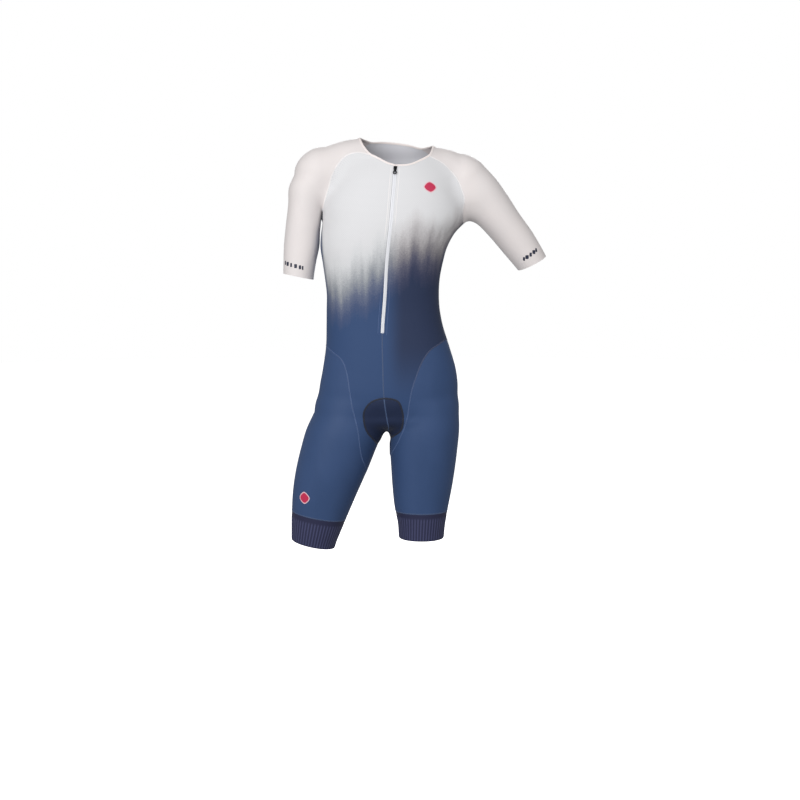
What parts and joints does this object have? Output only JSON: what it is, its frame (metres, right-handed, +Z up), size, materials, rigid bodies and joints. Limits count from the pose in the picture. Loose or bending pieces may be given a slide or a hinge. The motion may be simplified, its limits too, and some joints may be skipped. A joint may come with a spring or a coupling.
{
  "type": "triathlon suit",
  "caption": "One-piece short-sleeved triathlon suit in its worn, hollow form, with raglan sleeves, ribbed leg bands, a front zip and a seat pad.",
  "frame": {"origin": "middle of the neck's base, between the shoulders that carry the suit", "axes": "+X to the wearer's left, -Y to the front, +Z up along the standing wearer"},
  "size_m": [0.638, 0.2367, 1.0013],
  "materials": {
    "front": "fine stretch knit, white fading to navy",
    "back": "fine stretch knit, white fading to navy",
    "sleeve": "smooth sheer stretch knit",
    "leg": "smooth matt stretch knit",
    "leg_band": "ribbed elastic knit",
    "binding": "folded stretch binding",
    "zip_tape": "woven tape with moulded coil",
    "pad": "fleece over thin foam",
    "zip_metal": "satin black"
  },
  "bodies": {
    "suit": {"front_right": "front", "front_left": "front", "back": "back", "sleeve_right": "sleeve", "sleeve_left": "sleeve", "leg_right": "leg", "leg_left": "leg", "leg_band_right": "leg_band", "leg_band_left": "leg_band", "neck_binding": "binding", "zip_tape_right": "zip_tape", "zip_tape_left": "zip_tape", "zip_slider": "zip_metal", "seat_pad": "pad"},
    "pull_tab": {"zip_pull": "zip_metal"}
  },
  "joints": [
    {"name": "zip_pull_hinge", "type": "hinge", "parent": "suit", "child": "pull_tab", "pos_m": [-0.00141, -0.08886, -0.05733], "axis": [-0.9968, 0.0349, 0.0714], "range_deg": [0, 150]}
  ]
}
